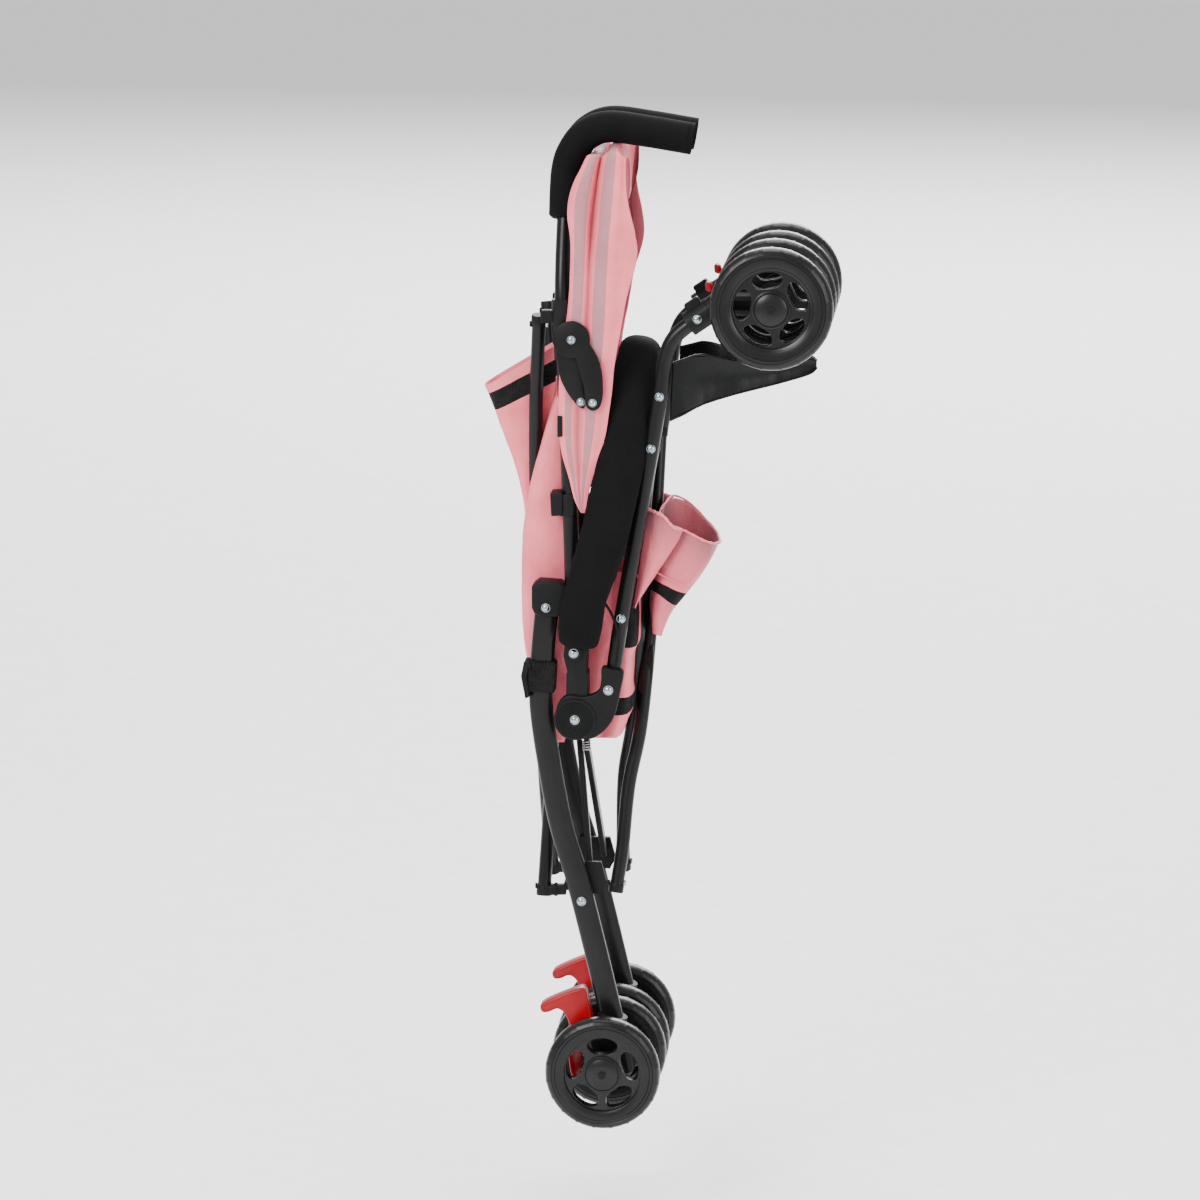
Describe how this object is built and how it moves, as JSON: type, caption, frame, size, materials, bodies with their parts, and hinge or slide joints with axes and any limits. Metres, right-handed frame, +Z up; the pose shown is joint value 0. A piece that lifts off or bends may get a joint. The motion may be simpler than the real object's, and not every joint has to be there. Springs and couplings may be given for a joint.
{
  "type": "umbrella stroller",
  "caption": "Folded umbrella stroller: crook handles, push tubes, crossed frames, folded front legs with castors, rear wheels, bumper bar, canopy, seat cloth and basket.",
  "frame": {"origin": "the place where a hook or hand holds the folded frame: under the tops of the two crook handles, midway between them", "axes": "+Z up along the push tubes, +X towards the folded castors, +Y from the near side frame to the far one"},
  "size_m": [0.3538, 0.229, 1.041],
  "materials": {
    "frame_tube": "satin black",
    "plastic": "matte black",
    "foam": "fine foam",
    "red_plastic": "gloss red",
    "wheel": "black tyre on black rim",
    "fabric": "pink woven cloth with a satin sheen",
    "gloss_sheet": "gloss black sheet",
    "webbing": "ribbed black webbing"
  },
  "bodies": {
    "near_frame": {"push_tube_near": "frame_tube", "handle_grip_near": "foam", "upper_bracket_near": "plastic", "recline_clip_near": "plastic", "rear_leg_bracket_near": "frame_tube", "knuckle_near": "plastic", "seat_back_fabric": "fabric", "seat_sling_fabric": "fabric"},
    "near_front_leg": {"front_leg_near": "frame_tube", "elbow_near": "plastic", "castor_housing_near": "plastic", "basket_fabric_near": "fabric", "tie_cord": "webbing"},
    "near_swivel_lock": {"swivel_lock_near": "red_plastic"},
    "near_castor": {"castor_fork_near": "plastic"},
    "near_rear_leg": {"rear_leg_near": "frame_tube", "axle_housing_near": "plastic", "cross_bracket_near": "plastic", "leg_strap": "webbing"},
    "near_brake_pedal": {"brake_pedal_near": "red_plastic"},
    "castor_wheel_near_outer": {"castor_wheel_near_outer": "wheel"},
    "rear_wheel_near_outer": {"rear_wheel_near_outer": "wheel"},
    "castor_wheel_near_inner": {"castor_wheel_near_inner": "wheel"},
    "rear_wheel_near_inner": {"rear_wheel_near_inner": "wheel"},
    "near_rear_cross_tube": {"rear_cross_tube_near": "frame_tube"},
    "near_lower_cross_tube": {"lower_cross_tube_near": "frame_tube"},
    "near_brace_link": {"brace_link_near": "frame_tube"},
    "near_footrest": {"footrest_near": "gloss_sheet"},
    "near_bumper": {"bumper_bar_near": "foam"},
    "near_front_bow": {"canopy_front_bow_near": "plastic", "canopy_fabric": "fabric"},
    "near_rear_bow": {"canopy_rear_bow_near": "plastic"},
    "far_frame": {"push_tube_far": "frame_tube", "handle_grip_far": "foam", "upper_bracket_far": "plastic", "recline_clip_far": "plastic", "rear_leg_bracket_far": "frame_tube", "knuckle_far": "plastic"},
    "far_front_leg": {"front_leg_far": "frame_tube", "elbow_far": "plastic", "castor_housing_far": "plastic"},
    "far_swivel_lock": {"swivel_lock_far": "red_plastic"},
    "far_castor": {"castor_fork_far": "plastic"},
    "far_rear_leg": {"rear_leg_far": "frame_tube", "axle_housing_far": "plastic", "cross_bracket_far": "plastic"},
    "far_brake_pedal": {"brake_pedal_far": "red_plastic"},
    "castor_wheel_far_outer": {"castor_wheel_far_outer": "wheel"},
    "rear_wheel_far_outer": {"rear_wheel_far_outer": "wheel"},
    "castor_wheel_far_inner": {"castor_wheel_far_inner": "wheel"},
    "rear_wheel_far_inner": {"rear_wheel_far_inner": "wheel"},
    "far_rear_cross_tube": {"rear_cross_tube_far": "frame_tube"},
    "far_lower_cross_tube": {"lower_cross_tube_far": "frame_tube"},
    "far_brace_link": {"brace_link_far": "frame_tube"},
    "far_footrest": {"footrest_far": "gloss_sheet"},
    "far_bumper": {"bumper_bar_far": "foam"},
    "far_front_bow": {"canopy_front_bow_far": "plastic"},
    "far_rear_bow": {"canopy_rear_bow_far": "plastic"},
    "far_basket": {"basket_fabric_far": "fabric"}
  },
  "joints": [
    {"name": "main_fold", "type": "hinge", "parent": "near_frame", "child": "near_front_leg", "pos_m": [-0.0484, -0.062, -0.5868], "axis": [0, 1, 0], "range_deg": [0, 140]},
    {"name": "frame_width", "type": "slide", "parent": "near_frame", "child": "far_frame", "axis": [0, 1, 0], "range_m": [0, 0.18], "deforming": ["seat_back_fabric", "seat_sling_fabric"]},
    {"name": "far_front_leg_fold", "type": "hinge", "parent": "far_frame", "child": "far_front_leg", "pos_m": [-0.0484, 0.062, -0.5868], "axis": [0, 1, 0], "range_deg": [0, 140]},
    {"name": "near_rear_leg_fold", "type": "hinge", "parent": "near_frame", "child": "near_rear_leg", "pos_m": [-0.078, -0.062, -0.4726], "axis": [0, 1, 0], "range_deg": [0, 60]},
    {"name": "near_rear_cross_tilt", "type": "hinge", "parent": "near_frame", "child": "near_rear_cross_tube", "pos_m": [-0.087, -0.046, -0.181], "axis": [0.613, 0.7803, 0.124], "range_deg": [0, 34.79]},
    {"name": "near_lower_cross_tilt", "type": "hinge", "parent": "near_front_leg", "child": "near_lower_cross_tube", "pos_m": [0.043, -0.046, -0.309], "axis": [0.6883, -0.6948, -0.2084], "range_deg": [0, 35.9]},
    {"name": "near_brace_fold", "type": "hinge", "parent": "near_rear_leg", "child": "near_brace_link", "pos_m": [-0.0364, -0.04, -0.752], "axis": [-0.9934, 0, -0.1149], "range_deg": [0, 70]},
    {"name": "near_footrest_fold", "type": "hinge", "parent": "near_front_leg", "child": "near_footrest", "pos_m": [0.046, -0.05245, -0.281], "axis": [0, 0, 1], "range_deg": [0, 37]},
    {"name": "near_castor_swivel", "type": "hinge", "parent": "near_front_leg", "child": "near_castor", "pos_m": [0.08567, -0.062, -0.16908], "axis": [0.821, 0, 0.571], "range_deg": [-18, 18]},
    {"name": "near_swivel_lock_flip", "type": "hinge", "parent": "near_front_leg", "child": "near_swivel_lock", "pos_m": [0.07539, -0.062, -0.1543], "axis": [0, -1, 0], "range_deg": [0, 20]},
    {"name": "castor_wheel_near_outer_spin", "type": "hinge", "parent": "near_castor", "child": "castor_wheel_near_outer", "pos_m": [0.1485, -0.094, -0.1626], "axis": [0, 1, 0], "continuous": true},
    {"name": "rear_wheel_near_outer_spin", "type": "hinge", "parent": "near_rear_leg", "child": "rear_wheel_near_outer", "pos_m": [-0.018, -0.102, -0.9495], "axis": [0, 1, 0], "continuous": true},
    {"name": "castor_wheel_near_inner_spin", "type": "hinge", "parent": "near_castor", "child": "castor_wheel_near_inner", "pos_m": [0.1485, -0.03, -0.1626], "axis": [0, 1, 0], "continuous": true},
    {"name": "rear_wheel_near_inner_spin", "type": "hinge", "parent": "near_rear_leg", "child": "rear_wheel_near_inner", "pos_m": [-0.018, -0.022, -0.9495], "axis": [0, 1, 0], "continuous": true},
    {"name": "near_brake_press", "type": "hinge", "parent": "near_rear_leg", "child": "near_brake_pedal", "pos_m": [-0.03, -0.062, -0.915], "axis": [0, 1, 0], "range_deg": [-18, 0]},
    {"name": "far_rear_leg_fold", "type": "hinge", "parent": "far_frame", "child": "far_rear_leg", "pos_m": [-0.078, 0.062, -0.4726], "axis": [0, 1, 0], "range_deg": [0, 60]},
    {"name": "far_rear_cross_tilt", "type": "hinge", "parent": "far_frame", "child": "far_rear_cross_tube", "pos_m": [-0.087, 0.046, -0.181], "axis": [-0.613, 0.7803, -0.124], "range_deg": [0, 34.79]},
    {"name": "far_lower_cross_tilt", "type": "hinge", "parent": "far_front_leg", "child": "far_lower_cross_tube", "pos_m": [0.043, 0.046, -0.309], "axis": [-0.6883, -0.6948, 0.2084], "range_deg": [0, 35.9]},
    {"name": "far_brace_fold", "type": "hinge", "parent": "far_rear_leg", "child": "far_brace_link", "pos_m": [-0.0296, 0.04, -0.752], "axis": [0.9934, 0, 0.1149], "range_deg": [0, 70]},
    {"name": "far_footrest_fold", "type": "hinge", "parent": "far_front_leg", "child": "far_footrest", "pos_m": [0.046, 0.05245, -0.281], "axis": [0, 0, -1], "range_deg": [0, 37]},
    {"name": "far_castor_swivel", "type": "hinge", "parent": "far_front_leg", "child": "far_castor", "pos_m": [0.08567, 0.062, -0.16908], "axis": [0.821, 0, 0.571], "range_deg": [-18, 18]},
    {"name": "far_swivel_lock_flip", "type": "hinge", "parent": "far_front_leg", "child": "far_swivel_lock", "pos_m": [0.07539, 0.062, -0.1543], "axis": [0, -1, 0], "range_deg": [0, 20]},
    {"name": "castor_wheel_far_outer_spin", "type": "hinge", "parent": "far_castor", "child": "castor_wheel_far_outer", "pos_m": [0.1485, 0.094, -0.1626], "axis": [0, 1, 0], "continuous": true},
    {"name": "rear_wheel_far_outer_spin", "type": "hinge", "parent": "far_rear_leg", "child": "rear_wheel_far_outer", "pos_m": [-0.018, 0.102, -0.9495], "axis": [0, 1, 0], "continuous": true},
    {"name": "castor_wheel_far_inner_spin", "type": "hinge", "parent": "far_castor", "child": "castor_wheel_far_inner", "pos_m": [0.1485, 0.03, -0.1626], "axis": [0, 1, 0], "continuous": true},
    {"name": "rear_wheel_far_inner_spin", "type": "hinge", "parent": "far_rear_leg", "child": "rear_wheel_far_inner", "pos_m": [-0.018, 0.022, -0.9495], "axis": [0, 1, 0], "continuous": true},
    {"name": "far_brake_press", "type": "hinge", "parent": "far_rear_leg", "child": "far_brake_pedal", "pos_m": [-0.03, 0.062, -0.915], "axis": [0, 1, 0], "range_deg": [-18, 0]},
    {"name": "bumper_bar_tilt", "type": "hinge", "parent": "near_frame", "child": "near_bumper", "pos_m": [-0.051, -0.062, -0.522], "axis": [0, 1, 0], "range_deg": [0, 56]},
    {"name": "bumper_bar_width", "type": "slide", "parent": "near_bumper", "child": "far_bumper", "axis": [0, 1, 0], "range_m": [0, 0.18]},
    {"name": "canopy_open", "type": "hinge", "parent": "near_frame", "child": "near_front_bow", "pos_m": [-0.0514, -0.062, -0.1984], "axis": [0, 1, 0], "range_deg": [0, 46]},
    {"name": "front_bow_width", "type": "slide", "parent": "near_front_bow", "child": "far_front_bow", "axis": [0, 1, 0], "range_m": [0, 0.18], "deforming": ["canopy_fabric"]},
    {"name": "rear_bow_tilt", "type": "hinge", "parent": "near_frame", "child": "near_rear_bow", "pos_m": [-0.0514, -0.062, -0.1984], "axis": [0, 1, 0], "range_deg": [0, 46]},
    {"name": "rear_bow_width", "type": "slide", "parent": "near_rear_bow", "child": "far_rear_bow", "axis": [0, 1, 0], "range_m": [0, 0.18]},
    {"name": "basket_width", "type": "slide", "parent": "near_front_leg", "child": "far_basket", "axis": [0, 1, 0], "range_m": [0, 0.18], "deforming": ["basket_fabric_near", "basket_fabric_far"]}
  ],
  "couplings": [
    {"joint": "frame_width", "follows": "main_fold", "m_per_rad": 0.073666},
    {"joint": "far_front_leg_fold", "follows": "main_fold", "ratio": 1},
    {"joint": "near_rear_leg_fold", "follows": "main_fold", "ratio": 0.42857},
    {"joint": "near_rear_cross_tilt", "follows": "main_fold", "ratio": 0.2485},
    {"joint": "near_lower_cross_tilt", "follows": "main_fold", "ratio": 0.25643},
    {"joint": "near_brace_fold", "follows": "main_fold", "ratio": 0.5},
    {"joint": "near_footrest_fold", "follows": "main_fold", "ratio": 0.26429},
    {"joint": "far_rear_leg_fold", "follows": "main_fold", "ratio": 0.42857},
    {"joint": "far_rear_cross_tilt", "follows": "main_fold", "ratio": 0.2485},
    {"joint": "far_lower_cross_tilt", "follows": "main_fold", "ratio": 0.25643},
    {"joint": "far_brace_fold", "follows": "main_fold", "ratio": 0.5},
    {"joint": "far_footrest_fold", "follows": "main_fold", "ratio": 0.26429},
    {"joint": "bumper_bar_tilt", "follows": "main_fold", "ratio": 0.4},
    {"joint": "bumper_bar_width", "follows": "main_fold", "m_per_rad": 0.073666},
    {"joint": "front_bow_width", "follows": "main_fold", "m_per_rad": 0.073666},
    {"joint": "rear_bow_tilt", "follows": "canopy_open", "ratio": 1},
    {"joint": "rear_bow_width", "follows": "main_fold", "m_per_rad": 0.073666},
    {"joint": "basket_width", "follows": "main_fold", "m_per_rad": 0.073666}
  ]
}
